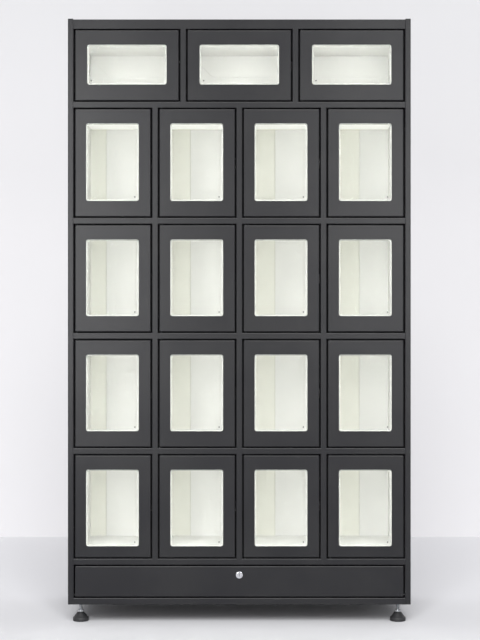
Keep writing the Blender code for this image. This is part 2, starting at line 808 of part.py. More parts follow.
def levelling_foot(name, place, surface):
    """A moulded pad on a threaded stud, with a hex nut above the pad."""
    pad = bmesh.new()
    turned_profile(
        pad,
        [
            (0, 0),
            (PAD_RADIUS - PAD_EDGE, 0),
            (PAD_RADIUS, PAD_EDGE),
            (PAD_RADIUS, PAD_RIM - PAD_EDGE),
            (PAD_RADIUS - PAD_EDGE, PAD_RIM),
            (PAD_NECK_RADIUS, PAD_HEIGHT),
            (0, PAD_HEIGHT),
        ],
        ROUND_SIDES,
    )
    foot = mesh_object(name, pad, surface)
    nut, stud = bmesh.new(), bmesh.new()
    add_rod(nut, (0, 0, PAD_HEIGHT - PAD_EDGE), (0, 0, NUT_HEIGHT + PAD_EDGE), NUT_RADIUS, NUT_SIDES)
    stud_top = BODY_BOTTOM + STUD_REACH
    add_rod(stud, (0, 0, PAD_HEIGHT), (0, 0, stud_top - PAD_HEIGHT), STUD_RADIUS, STUD_SIDES)
    shaped(foot, [("UNION", nut), ("UNION", stud)])
    foot.location = (*place, 0)
    return round_off(foot)


def tabbed_box(name, centre_x, size, surface):
    """An electronics case on the base: mounting tabs at its ends and a raised lid."""
    width, depth, height = size
    floor = BODY_BOTTOM + SHEET + FIT_GAP
    front = PAN_FRONT + BOX_STAND_OFF
    left, right = centre_x - width / 2, centre_x + width / 2
    case = mesh_object(name, box_shape((left, front, floor), (right, front + depth, floor + height)), surface)
    near, far = (front + depth * share for share in TAB_SHARES)
    tabs = box_shape((left - TAB_LENGTH, near, floor), (right + TAB_LENGTH, far, floor + TAB_THICKNESS))
    lid = box_shape(
        (left - LID_LIP, front - LID_LIP, floor + height - LID_LIP),
        (right + LID_LIP, front + depth + LID_LIP, floor + height + LID_THICKNESS),
    )
    low, high = (floor + height * share for share in TERMINAL_SHARES)
    terminals = box_shape(
        (left + TERMINAL_INSET, front - OVERRUN, low), (right - TERMINAL_INSET, front + TERMINAL_DEPTH, high)
    )
    return shaped(case, [("UNION", tabs), ("UNION", lid), ("DIFFERENCE", terminals)])


def power_inlet(surface):
    """The mains socket in the back panel: a flange outside it and three pins in a recess."""
    x, z = inlet_centre()
    half_width, half_height = INLET_WIDTH / 2, INLET_HEIGHT / 2
    outside = FRONT + BODY_DEPTH
    body = box_shape(
        (x - half_width, outside - INLET_DEPTH, z - half_height),
        (x + half_width, outside - SHEET / 2, z + half_height),
    )
    inlet = mesh_object("power_inlet", body, surface)
    flange = box_shape(
        (x - half_width - INLET_FLANGE, outside - SHEET, z - half_height - INLET_FLANGE),
        (x + half_width + INLET_FLANGE, outside, z + half_height + INLET_FLANGE),
    )
    recess = box_shape(
        (x - half_width + INLET_WALL, outside - INLET_DEPTH + INLET_WALL, z - half_height + INLET_WALL),
        (x + half_width - INLET_WALL, outside + OVERRUN, z + half_height - INLET_WALL),
    )
    pins = bmesh.new()
    root = outside - INLET_DEPTH + INLET_WALL / 2
    for index in (-1, 0, 1):
        middle = z + index * INLET_PIN_PITCH
        add_box(
            pins,
            (x - INLET_PIN_WIDTH / 2, root, middle - INLET_PIN_THICKNESS / 2),
            (x + INLET_PIN_WIDTH / 2, outside - INLET_WALL, middle + INLET_PIN_THICKNESS / 2),
        )
    return shaped(inlet, [("UNION", flange), ("DIFFERENCE", recess), ("UNION", pins)])


def build_locker():
    clear_scene()
    charcoal = material("charcoal powder coat", (0.065, 0.066, 0.070), 0.55)
    white = material("white powder coat", (0.80, 0.81, 0.77), 0.45)
    clear = material("clear acrylic", (0.95, 0.97, 0.95), 0.05, alpha=0.25)
    chrome = material("chromed zinc", (0.80, 0.80, 0.82), 0.12, 1.0)
    steel = material("zinc-plated steel", (0.60, 0.60, 0.62), 0.35, 1.0)
    plastic = material("black moulded nylon", (0.020, 0.020, 0.022), 0.6)

    front_frame(charcoal)
    side_panel("side_panel_left", -1, charcoal)
    side_panel("side_panel_right", 1, charcoal)
    shallow_pan("top_panel", FRAME_TOP, FRAME_TOP - PAN_LIP, charcoal)
    base_panel(charcoal)
    back_panel(charcoal)
    for row in range(len(ROW_OPENINGS)):
        top_row = row_columns(row) == TOP_COLUMNS
        name = "top" if top_row else str(len(ROW_OPENINGS) - 1 - row)
        row_liner(row, "row_liner_" + name, white)
    doors_and_windows(charcoal, clear)
    service_flap(charcoal)
    lock_housing(chrome)
    lock_plug(chrome)
    lock_cam(steel)
    for name, place in foot_places().items():
        levelling_foot("foot_" + name, place, plastic)
    controller_size = (CONTROLLER_WIDTH, CONTROLLER_DEPTH, CONTROLLER_HEIGHT)
    tabbed_box("controller_box", CONTROLLER_CENTRE, controller_size, plastic)
    tabbed_box("power_supply", SUPPLY_CENTRE, (SUPPLY_WIDTH, SUPPLY_DEPTH, SUPPLY_HEIGHT), steel)
    power_inlet(plastic)


build_locker()
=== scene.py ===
"""Smart locker: finishes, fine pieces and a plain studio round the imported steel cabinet.

Metres, +Z up, +X to the right, and the doors face -Y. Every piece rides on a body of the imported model.
"""

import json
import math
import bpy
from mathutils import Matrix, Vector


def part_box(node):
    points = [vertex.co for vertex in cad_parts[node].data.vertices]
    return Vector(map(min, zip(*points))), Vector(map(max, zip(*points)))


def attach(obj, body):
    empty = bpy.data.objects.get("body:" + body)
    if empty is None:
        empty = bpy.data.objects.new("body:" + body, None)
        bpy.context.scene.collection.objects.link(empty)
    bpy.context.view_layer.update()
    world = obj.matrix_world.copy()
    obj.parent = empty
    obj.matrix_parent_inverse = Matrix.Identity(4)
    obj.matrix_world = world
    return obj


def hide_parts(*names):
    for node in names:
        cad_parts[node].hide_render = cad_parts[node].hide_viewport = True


bl_info = {
    "name": "Smart Locker Finish",
    "version": (1, 0, 0),
    "blender": (4, 5, 0),
    "location": "View3D > Sidebar > Locker",
    "description": "Dresses a packed smart locker in its finishes and fine pieces and sets up a plain studio",
    "category": "Object",
}

import bmesh
import bpy
from bpy.props import FloatProperty, IntProperty, PointerProperty
from mathutils import Matrix, Vector

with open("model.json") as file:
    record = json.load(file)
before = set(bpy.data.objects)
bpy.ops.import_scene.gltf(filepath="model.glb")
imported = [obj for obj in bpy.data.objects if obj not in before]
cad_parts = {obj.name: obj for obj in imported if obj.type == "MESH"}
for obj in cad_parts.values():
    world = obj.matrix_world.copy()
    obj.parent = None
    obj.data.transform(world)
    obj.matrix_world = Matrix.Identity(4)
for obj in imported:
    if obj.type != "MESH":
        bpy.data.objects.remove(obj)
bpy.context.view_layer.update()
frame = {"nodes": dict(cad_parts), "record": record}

# Small lengths and the directions that the whole file shares
MILLIMETRE = 0.001
WELD = 0.00002
CLEAR = 0.0003
SHARP_ANGLE = math.radians(35)
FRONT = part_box("front_frame")[0].y
SHEET = 0.0015
BOX_MARGIN = 0.001
FORWARD, BACKWARD, UPWARD = (0, -1, 0), (0, 1, 0), (0, 0, 1)
DIODE_PITCH_MM = 16.7
# Depth of a metric thread, in pitches
THREAD_DEPTH = 0.61


def linear(hex_colour):
    """An sRGB hex colour as linear red, green, blue and alpha."""
    parts = [int(hex_colour[start : start + 2], 16) / 255 for start in (1, 3, 5)]
    return (*(p / 12.92 if p <= 0.04045 else ((p + 0.055) / 1.055) ** 2.4 for p in parts), 1.0)


def add_node(tree, kind, inputs=None, **settings):
    """Adds a shader node with its settings, and sets or links each of its inputs."""
    node = tree.nodes.new(kind)
    for name, value in settings.items():
        setattr(node, name, value)
    for name, value in (inputs or {}).items():
        if isinstance(value, bpy.types.NodeSocket):
            tree.links.new(value, node.inputs[name])
        else:
            node.inputs[name].default_value = value
    return node


def start_finish(name, **values):
    """A material with one Principled shader. Its values hold all over the surface."""
    finish = bpy.data.materials.new(name)
    finish.use_nodes = True
    shader = finish.node_tree.nodes["Principled BSDF"]
    for socket, value in values.items():
        shader.inputs[socket.replace("_", " ").title().replace("Ior", "IOR")].default_value = value
    return finish, finish.node_tree, shader


def per_metre(millimetres):
    """A pattern's scale, from the size of one of its features."""
    return 1.0 / (millimetres * MILLIMETRE)


def mottled(tree, vector, feature_mm, low, high, detail=2.0):
    """A soft random pattern between two values, with features of a real size."""
    noise = add_node(
        tree, "ShaderNodeTexNoise", {"Vector": vector, "Scale": per_metre(feature_mm), "Detail": detail}
    )
    spread = {"Value": noise.outputs["Fac"], "From Min": 0.3, "From Max": 0.7, "To Min": low, "To Max": high}
    return add_node(tree, "ShaderNodeMapRange", spread, interpolation_type="SMOOTHSTEP").outputs["Result"]


def two_tone(tree, factor, first, second):
    """One colour that turns into another with a pattern."""
    inputs = {0: factor, 6: linear(first), 7: linear(second)}
    return add_node(tree, "ShaderNodeMix", inputs, data_type="RGBA").outputs[2]


def raise_surface(tree, shader, height, depth_mm, fold_mm=0.0):
    """Bump of a real depth, over edges that are rounded off by a real radius."""
    inputs = {"Height": height, "Distance": depth_mm * MILLIMETRE, "Strength": 1.0}
    if fold_mm:
        inputs["Normal"] = add_node(
            tree, "ShaderNodeBevel", {"Radius": fold_mm * MILLIMETRE}, samples=6
        ).outputs["Normal"]
    tree.links.new(add_node(tree, "ShaderNodeBump", inputs).outputs["Normal"], shader.inputs["Normal"])


def object_place(tree):
    return add_node(tree, "ShaderNodeTexCoord").outputs["Object"]


def clouded(name, tones, gloss, grain, fold_mm=0.0, **values):
    """A finish with a soft cloud of two tones, a gloss that wanders and a fine grain.

    Tones are (size in mm, first, second), gloss is None or (size in mm, lowest, highest roughness), and
    grain is (size in mm, depth in mm, detail).
    """
    finish, tree, shader = start_finish(name, **values)
    place = object_place(tree)
    tone_mm, first, second = tones
    cloud = mottled(tree, place, tone_mm, 0.0, 1.0)
    tree.links.new(two_tone(tree, cloud, first, second), shader.inputs["Base Color"])
    if gloss:
        tree.links.new(mottled(tree, place, *gloss), shader.inputs["Roughness"])
    grain_mm, depth_mm, detail = grain
    bumps = mottled(tree, place, grain_mm, 0.0, 1.0, detail=detail)
    raise_surface(tree, shader, bumps, depth_mm, fold_mm=fold_mm)
    return finish


def charcoal_powder_coat():
    """Fine-textured polyester powder coat on steel: baked grains spread a highlight into a soft sheen."""
    # The grains are about 0.4 mm wide, and are drawn at 1.4 mm so that they show.
    return clouded(
        "charcoal powder coat",
        (130, "#202023", "#252527"),
        None,
        (1.4, 0.02, 3.0),
        fold_mm=1.2,
        roughness=0.29,
        ior=1.5,
        specular_ior_level=0.26,
    )


def white_powder_coat():
    """Smooth satin powder coat inside the compartments: an even, warm white with faint orange peel."""
    return clouded(
        "white powder coat",
        (90, "#F0F0EE", "#F3F3F1"),
        (30, 0.42, 0.50),
        (2.5, 0.02, 2.0),
        fold_mm=0.8,
        ior=1.5,
        specular_ior_level=0.35,
    )


def cover_enamel():
    """Rolled-on matt enamel of the wiring covers: flatter and a touch yellower than the coat around them."""
    return clouded(
        "matt off-white enamel", (60, "#EFEFE7", "#F2F2EA"), (15, 0.55, 0.65), (1.5, 0.03, 2.0), ior=1.5
    )


def clear_acrylic():
    """Cast acrylic sheet with an anti-reflection coat: hardly a glint, and a faint bloom of wiping."""
    finish, tree, shader = start_finish(
        "clear cast acrylic",
        base_color=linear("#FBFCFA"),
        ior=1.49,
        specular_tint=linear("#242825"),
        transmission_weight=1.0,
    )
    place = object_place(tree)
    stretched = add_node(tree, "ShaderNodeMapping", {"Vector": place, "Scale": (1.0, 1.0, 0.25)})
    wiped = mottled(tree, stretched.outputs["Vector"], 18, 0.005, 0.03)
    tree.links.new(wiped, shader.inputs["Roughness"])
    return finish


def lit_opal(name, unlit, strength):
    """Frosted opal polycarbonate with diodes behind it: milky white, a little brighter over each diode."""
    finish, tree, shader = start_finish(
        name,
        base_color=linear(unlit),
        roughness=0.6,
        ior=1.58,
        specular_ior_level=0.15,
        emission_strength=strength,
    )
    place = object_place(tree)
    beads = add_node(
        tree,
        "ShaderNodeTexWave",
        {"Vector": place, "Scale": per_metre(DIODE_PITCH_MM) / math.tau, "Distortion": 0.0},
        bands_direction="Z",
    )
    glow = two_tone(tree, beads.outputs["Fac"], "#F8F8F4", "#FFFFFC")
    tree.links.new(glow, shader.inputs["Emission Color"])
    return finish


def bright_chrome():
    """Nickel and chrome plate on a zinc casting: mirror bright, with the faint waves of the casting."""
    finish, tree, shader = start_finish("bright chrome plate", base_color=linear("#E3E4E8"), metallic=1.0)
    place = object_place(tree)
    tree.links.new(mottled(tree, place, 3, 0.08, 0.16), shader.inputs["Roughness"])
    raise_surface(tree, shader, mottled(tree, place, 5, 0.0, 1.0), 0.02)
    return finish


def zinc_plate():
    """Bright zinc plate on steel: a cool grey gleam, cloudy where the passivation lies thicker."""
    return clouded(
        "bright zinc plate",
        (6, "#B9BCC0", "#D6D8DA"),
        (2, 0.22, 0.36),
        (0.8, 0.01, 2.0),
        fold_mm=0.3,
        metallic=1.0,
    )


def mill_aluminium():
    """Rolled aluminium sheet as it leaves the mill: fine lines along the rolling direction."""
    finish, tree, shader = start_finish("mill-finish aluminium", metallic=1.0)
    place = object_place(tree)
    rolled = add_node(tree, "ShaderNodeMapping", {"Vector": place, "Scale": (0.03, 1.0, 1.0)})
    lines = mottled(tree, rolled.outputs["Vector"], 0.7, 0.0, 1.0, detail=4.0)
    tree.links.new(two_tone(tree, lines, "#B4B6B8", "#CBCDCE"), shader.inputs["Base Color"])
    tree.links.new(mottled(tree, place, 20, 0.30, 0.42), shader.inputs["Roughness"])
    raise_surface(tree, shader, lines, 0.008, fold_mm=0.5)
    return finish


def moulded_nylon():
    """Glass-filled nylon from a spark-eroded mould: a dull black grain that greys on its highlights."""
    return clouded(
        "black moulded nylon",
        (14, "#202022", "#2A2A2C"),
        (4, 0.46, 0.60),
        (0.7, 0.04, 3.0),
        fold_mm=0.5,
        ior=1.53,
    )


def foam_rubber():
    """Closed-cell foam tape: matt black with open-cut pores."""
    finish, tree, shader = start_finish("black cell rubber", roughness=0.9, ior=1.45)
    place = object_place(tree)
    pores = add_node(tree, "ShaderNodeTexVoronoi", {"Vector": place, "Scale": per_metre(0.9)})
    tone = two_tone(tree, pores.outputs["Distance"], "#060607", "#0E0E0F")
    tree.links.new(tone, shader.inputs["Base Color"])
    raise_surface(tree, shader, pores.outputs["Distance"], 0.15)
    return finish


def shadow_line_sealant():
    """Paintable acrylic sealant, tooled with a finger: a soft grey, darker than the white round it, with a
    dull skin and slow waves. Its grey is painted shade that draws the shadow line along the edge it seals.
    """
    return clouded("grey sealant", (20, "#D6D6CC", "#DCDCD2"), (6, 0.5, 0.7), (3, 0.05, 2.0), ior=1.45)


def terminal_green():
    """Flame-proof polyamide of plug-in terminals: a flat green with the gloss of its mould."""
    return clouded(
        "green terminal nylon",
        (5, "#2C7A49", "#338552"),
        (2, 0.36, 0.46),
        (0.6, 0.02, 2.0),
        fold_mm=0.2,
        ior=1.53,
    )


def show_mix(tree, output, factor, first, second):
    """Feeds a tree's output from two shaders, of which a factor picks one."""
    mixed = add_node(tree, "ShaderNodeMixShader", {0: factor, 1: first, 2: second})
    tree.links.new(mixed.outputs["Shader"], tree.nodes[output].inputs["Surface"])


def studio_paint(name, lower, upper):
    """Matt rolled paint of a studio, slowly cloudy, with painted shade that turns it darker with height.

    A camera that stands behind it sees through it.
    """
    finish, tree, shader = start_finish(name, roughness=0.9, specular_ior_level=0.15)
    place = object_place(tree)
    height = add_node(tree, "ShaderNodeSeparateXYZ", {"Vector": place}).outputs["Z"]
    # Painted shade: from 1.2 m to 2.4 m up the colour turns into the upper tone, which on the backdrop is
    # darker, standing in for lamp light that falls off towards the top.
    painted_shade = add_node(tree, "ShaderNodeMapRange", {"Value": height, "From Min": 1.2, "From Max": 2.4})
    cloud = mottled(tree, place, 900, -0.04, 0.04)
    tone = add_node(tree, "ShaderNodeMath", {0: painted_shade.outputs["Result"], 1: cloud}, operation="ADD")
    tree.links.new(two_tone(tree, tone.outputs[0], lower, upper), shader.inputs["Base Color"])
    raise_surface(tree, shader, mottled(tree, place, 6, 0.0, 1.0), 0.02)
    back = add_node(tree, "ShaderNodeNewGeometry").outputs["Backfacing"]
    seen = add_node(tree, "ShaderNodeLightPath").outputs["Is Camera Ray"]
    behind = add_node(tree, "ShaderNodeMath", {0: back, 1: seen}, operation="MULTIPLY").outputs[0]
    clear = add_node(tree, "ShaderNodeBsdfTransparent").outputs["BSDF"]
    show_mix(tree, "Material Output", behind, shader.outputs["BSDF"], clear)
    return finish


def bevelled(shape, geometry, offset, segments=2, affect="EDGES"):
    bmesh.ops.bevel(
        shape, geom=geometry, offset=offset, segments=segments, profile=0.5, affect=affect, material=-1
    )


def pushed(shape, result, along):
    """Moves what an extrusion has grown."""
    verts = [item for item in result["geom"] if isinstance(item, bmesh.types.BMVert)]
    bmesh.ops.translate(shape, vec=along, verts=verts)


def block(low, high, edge=0.0):
    """A box between two corners, with its edges rounded off."""
    low, high = Vector(low), Vector(high)
    place = Matrix.Translation((low + high) / 2) @ Matrix.Diagonal((*(high - low), 1.0))
    shape = bmesh.new()
    bmesh.ops.create_cube(shape, size=1.0, matrix=place)
    if edge:
        bevelled(shape, shape.edges[:], edge)
    return shape


def turned(profile, steps=32, hollow=False):
    """A solid turned about z from (radius, height) points. A hollow one closes its profile into a ring."""
    shape = bmesh.new()
    verts = [shape.verts.new((radius, 0.0, height)) for radius, height in profile]
    pairs = list(zip(verts, verts[1:]))
    if hollow:
        pairs.append((verts[-1], verts[0]))
    line = verts + [shape.edges.new(pair) for pair in pairs]
    bmesh.ops.spin(
        shape, geom=line, cent=(0, 0, 0), axis=UPWARD, angle=math.tau, steps=steps, use_merge=True
    )
    bmesh.ops.remove_doubles(shape, verts=shape.verts, dist=WELD)
    return shape


def extruded(outline, along):
    """A flat outline, given as points in space, extruded along a vector."""
    shape = bmesh.new()
    face = shape.faces.new([shape.verts.new(point) for point in outline])
    pushed(shape, bmesh.ops.extrude_face_region(shape, geom=[face]), along)
    return shape


def rounded_frame(low, high, radius, width, far):
    """A flat frame with round corners in x and z, from y = low.y to y = far."""
    shape = bmesh.new()
    spots = ((low.x, low.z), (high.x, low.z), (high.x, high.z), (low.x, high.z))
    corners = [shape.verts.new((x, low.y, z)) for x, z in spots]
    shape.faces.new(corners)
    bevelled(shape, corners, radius, segments=6, affect="VERTICES")
    sheet = max(shape.faces, key=bmesh.types.BMFace.calc_area)
    bmesh.ops.inset_region(shape, faces=[sheet], thickness=width, use_even_offset=True, use_boundary=True)
    bmesh.ops.delete(shape, geom=[sheet], context="FACES_ONLY")
    pushed(shape, bmesh.ops.extrude_face_region(shape, geom=shape.faces[:]), (0, far - low.y, 0))
    return shape


def hex_prism(radius, height, edge):
    """A hexagon bar standing on z = 0, with its corners eased."""
    shape = bmesh.new()
    middle = Matrix.Translation((0, 0, height / 2))
    bmesh.ops.create_cone(
        shape, cap_ends=True, segments=6, radius1=radius, radius2=radius, depth=height, matrix=middle
    )
    bevelled(shape, shape.edges[:], edge)
    return shape


def threaded_rod(radius, pitch, length, steps=20):
    """A bar whose V thread climbs by one pitch a turn."""
    root = radius - pitch * THREAD_DEPTH
    turns = round(length / pitch)
    shape = bmesh.new()
    verts = [
        shape.verts.new((reach, 0.0, rise)) for reach, rise in ((root, 0), (radius, pitch / 2), (root, pitch))
    ]
    line = verts + [shape.edges.new(pair) for pair in zip(verts, verts[1:])]
    bmesh.ops.spin(
        shape,
        geom=line,
        cent=(0, 0, 0),
        axis=UPWARD,
        angle=math.tau * turns,
        steps=steps * turns,
        dvec=(0, 0, pitch / steps),
        use_merge=False,
    )
    bmesh.ops.remove_doubles(shape, verts=shape.verts, dist=WELD)
    bmesh.ops.holes_fill(shape, edges=shape.edges, sides=0)
    return shape


def merge(bm, shape, place=None, surface=0):
    """Moves a shape into place and adds it to a piece, with the number of its finish."""
    if place is not None:
        bmesh.ops.transform(shape, matrix=place, verts=shape.verts)
    bmesh.ops.recalc_face_normals(shape, faces=shape.faces)
    for face in shape.faces:
        face.material_index = surface
    carrier = bpy.data.meshes.new("shape")
    shape.to_mesh(carrier)
    shape.free()
    bm.from_mesh(carrier)
    bpy.data.meshes.remove(carrier)


def facing(place, direction):
    """A matrix that puts a shape's z axis along a direction, at a place."""
    turn = Vector(direction).to_track_quat("Z", "Y").to_matrix().to_4x4()
    return Matrix.Translation(Vector(place)) @ turn


def add_screw(bm, radius, seat, direction, surface=0):
    """Adds a low pan head with a round socket, which looks along a direction from its seat."""
    height, socket = radius * 0.55, radius * 0.45
    rise, crown = (radius, height * 0.45), (radius * 0.8, height * 0.9)
    shape = turned([(0, 0), (radius, 0), rise, crown, (socket * 1.1, height)], 12)
    top = [edge for edge in shape.edges if edge.is_boundary]
    pushed(shape, bmesh.ops.extrude_edge_only(shape, edges=top), (0, 0, -height * 0.6))
    bmesh.ops.holes_fill(shape, edges=shape.edges, sides=0)
    merge(bm, shape, facing(seat, direction), surface)


def add_object(name, data):
    made = bpy.data.objects.new(name, data)
    bpy.context.scene.collection.objects.link(made)
    return made


def add_mesh(name, bm, finishes):
    """A mesh object from a bmesh, in named finishes."""
    mesh = bpy.data.meshes.new(name)
    bm.to_mesh(mesh)
    bm.free()
    for finish in finishes:
        mesh.materials.append(bpy.data.materials[finish])
    return add_object(name, mesh)


def add_piece(name, bm, finishes, body, slot, *replaced):
    """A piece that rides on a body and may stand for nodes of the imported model."""
    piece = add_mesh(name, bm, finishes)
    piece.data.shade_smooth()
    piece.data.set_sharp_from_angle(angle=SHARP_ANGLE)
    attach(piece, body)
    if replaced:
        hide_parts(*replaced)


def compartments():
    """Name and inner box of each compartment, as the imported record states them."""
    for opening in frame["record"]["physics"]["openings"]:
        kind, _, name = opening["name"].partition("_")
        if kind == "compartment":
            yield name, Vector(opening["box_m"][0]), Vector(opening["box_m"][1])


def compartment_rows():
    """The compartments of each row, by the name of the row's liner."""
    rows = {}
    for name, low, high in compartments():
        rows.setdefault(name.rpartition("_")[0], []).append((name, low, high))
    return rows


def window_edges(name):
    """Lowest and highest corner of the face of a pane that fills its door's cut-out."""
    points = [vertex.co for vertex in frame["nodes"]["window_" + name].data.vertices]
    front = min(point.y for point in points)
    face = [point for point in points if point.y - front < CLEAR / 2]
    low = Vector((min(p.x for p in face), front, min(p.z for p in face)))
    high = Vector((max(p.x for p in face), front, max(p.z for p in face)))
    return low, high


def lie_in(points, boxes):
    """Whether all the points lie in one of the boxes."""
    return any(all(low[i] <= p[i] <= high[i] for p in points for i in range(3)) for low, high in boxes)


def door_body(name):
    return "compartment_door_" + name


def is_wide(low, high):
    return high.x - low.x > high.z - low.z


def number(label, description, default, unit="NONE"):
    return FloatProperty(name=label, description=description, default=default, unit=unit)


class LockerSizes(bpy.types.PropertyGroup):
    """Sizes of the fine pieces."""

    rim_width: number("Window rim", "How much of the lit rim shows inside a window", 0.0031, "LENGTH")
    seal_width: number("Seal width", "Width of the foam tape behind each door", 0.0085, "LENGTH")
    seal_thickness: number("Seal thickness", "Thickness of the foam tape", 0.0007, "LENGTH")
    bar_width: number("Light bar", "Width of a compartment's light bar", 0.010, "LENGTH")
    screw_radius: number("Screw head", "Radius of the panel screws' heads", 0.0032, "LENGTH")
    thread_pitch: number("Foot thread", "Pitch of the thread on the levelling feet", 0.0015, "LENGTH")
    screws_up: IntProperty(
        name="Screws up", description="Screws along the height of the back panel", default=9, min=2
    )
    screws_across: IntProperty(
        name="Screws across", description="Screws along the width of the back panel", default=5, min=1
    )


class LockerColours(bpy.types.PropertyGroup):
    """Strengths of the object's own lights."""

    bar_strength: number("Light bars", "Strength of the light bars in the compartments", 15.0)
    panel_strength: number("Ceiling panels", "Strength of the opal panels in the compartments", 0.36)
    rim_strength: number("Window rims", "Strength of the lit rims behind the windows", 0.1)


class LockerStudio(bpy.types.PropertyGroup):
    """The floor, the backdrop, the lamps and the camera."""

    camera_height: number("Camera height", "Height of the lens above the floor", 0.883, "LENGTH")
    camera_distance: number("Camera distance", "From the lens to the front of the doors", 4.5, "LENGTH")
    camera_side: number("Camera side", "How far the lens is to the right of the middle", 0.002, "LENGTH")
    view_height: number("View height", "Height of what the camera frames at the doors", 1.866, "LENGTH")
    backdrop_distance: number("Backdrop", "From the front of the doors to the backdrop", 1.78, "LENGTH")
    room_light: number("Room light", "Strength of the even light around", 0.35)
    key_light: number("Key light", "Strength of the wide soft light from the front", 2.3)
    key_height: number("Key height", "Angle of the key light above the floor", math.radians(44), "ROTATION")
    key_spread: number("Key spread", "How wide the key light looks", math.radians(36), "ROTATION")
    left_strip: number("Left strip", "Power of the tall lamp left of the camera", 43.0, "POWER")
    right_strip: number("Right strip", "Power of the tall lamp right of the camera", 31.0, "POWER")


class LOCKER_OT_finishes(bpy.types.Operator):
    """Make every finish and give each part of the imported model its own"""

    bl_idname = "locker.finishes"
    bl_label = "Finishes"

    LATCH_HEIGHT = 0.070
    LATCH_WIDTH = 0.022
    LATCH_DEPTH = 0.046

    def execute(self, context):
        lights = context.scene.locker_colours
        by_slot = {
            "charcoal_powder_coat": charcoal_powder_coat(),
            "white_powder_coat": white_powder_coat(),
            "clear_acrylic": clear_acrylic(),
            "chrome": bright_chrome(),
            "zinc_plate": zinc_plate(),
            "aluminium_case": mill_aluminium(),
            "black_moulding": moulded_nylon(),
        }
        lit_opal("lit opal light bar", "#F4F5F0", lights.bar_strength)
        lit_opal("lit opal window rim", "#AAABA7", lights.rim_strength)
        lit_opal("lit opal ceiling panel", "#F4F5F0", lights.panel_strength)
        foam_rubber()
        terminal_green()
        cover_enamel()
        shadow_line_sealant()
        for part in frame["record"]["subparts"]:
            node = frame["nodes"][part["node"]]
            node.data.materials.clear()
            node.data.materials.append(by_slot[part["material_slot"]])
            if part["material_slot"] == "clear_acrylic":
                node.visible_shadow = False
        for row, members in compartment_rows().items():
            self.finish_liner(frame["nodes"]["row_liner_" + row], members)
        return {"FINISHED"}

    def finish_liner(self, liner, members):
        """Gives the latches and the wiring covers, one piece with their liner, their own finishes."""
        for name in ("black moulded nylon", "matt off-white enamel"):
            liner.data.materials.append(bpy.data.materials[name])
        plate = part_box(liner.name)[0].y
        half = self.LATCH_HEIGHT / 2 + CLEAR
        around = Vector((2 * BOX_MARGIN, 0, 2 * BOX_MARGIN))
        latches, covers = [], []
        for _, low, high in members:
            side, middle, back = high.x + BOX_MARGIN, (low.z + high.z) / 2, high.y + BOX_MARGIN
            near = Vector((side, plate + CLEAR, middle - half))
            far = Vector((side + self.LATCH_WIDTH, plate + self.LATCH_DEPTH, middle + half))
            latches.append((near, far))
            if not is_wide(low, high):
                near, far = low - around, high + around
                near.y, far.y = back - CLEAR, back + CLEAR
                covers.append((near, far))
        for face in liner.data.polygons:
            corners = [liner.data.vertices[index].co for index in face.vertices]
            if lie_in(corners, latches):
                face.material_index = 1
            elif lie_in(corners, covers):
                face.material_index = 2


